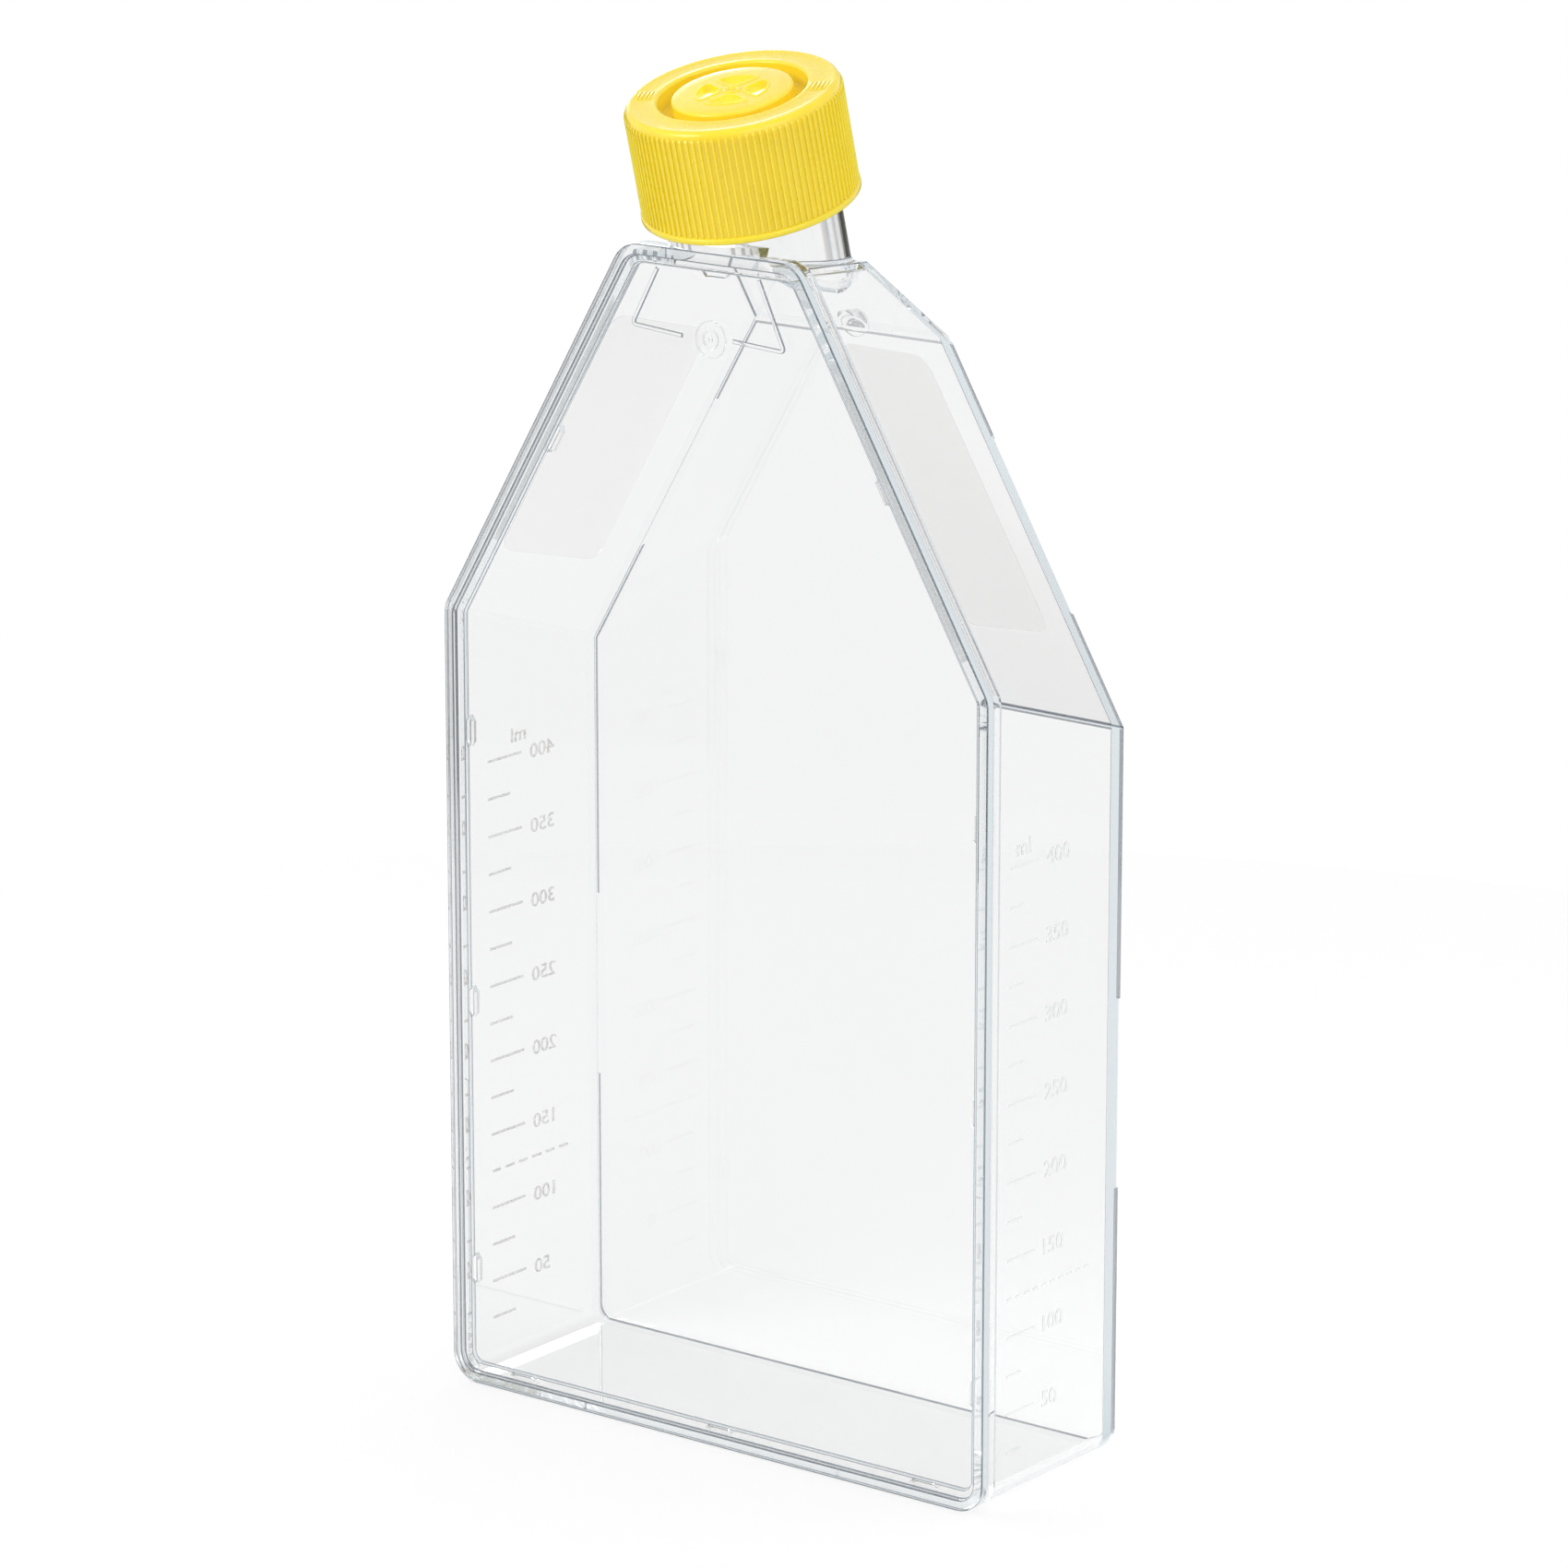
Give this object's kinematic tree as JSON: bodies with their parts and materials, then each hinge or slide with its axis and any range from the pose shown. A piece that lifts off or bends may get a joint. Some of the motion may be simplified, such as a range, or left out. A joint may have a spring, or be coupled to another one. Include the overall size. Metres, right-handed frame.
{
  "type": "cell culture flask",
  "caption": "Clear flat-sided culture flask with sloping shoulders, a pipette ramp, a canted neck and a ribbed, vented screw cap.",
  "frame": {"origin": "middle of the flat end wall that the flask stands on", "axes": "+Z along the flask to its neck, +X across its width, +Y from the lid to the growth surface"},
  "size_m": [0.114, 0.0504, 0.2352],
  "materials": {
    "clear_polystyrene": "water-clear polystyrene, polished, with finely matt writing fields on the shoulders",
    "yellow_polyethylene": "opaque yellow polyethylene, satin",
    "white_membrane": "matt white water-repellent filter membrane"
  },
  "bodies": {
    "flask": {"flask_tub": "clear_polystyrene", "top_plate": "clear_polystyrene"},
    "lift": {"vent_membrane": "white_membrane"},
    "cap": {"screw_cap": "yellow_polyethylene"}
  },
  "joints": [
    {"name": "cap_lift", "type": "slide", "parent": "flask", "child": "lift", "axis": [0, -0.2656, 0.9641], "range_m": [0, 0.0054]},
    {"name": "cap_turn", "type": "hinge", "parent": "lift", "child": "cap", "pos_m": [0, -0.0059, 0.2038], "axis": [0, -0.2656, 0.9641], "range_deg": [0, 540]}
  ],
  "couplings": [
    {"joint": "cap_lift", "follows": "cap_turn", "m_per_rad": 0.00057296}
  ]
}
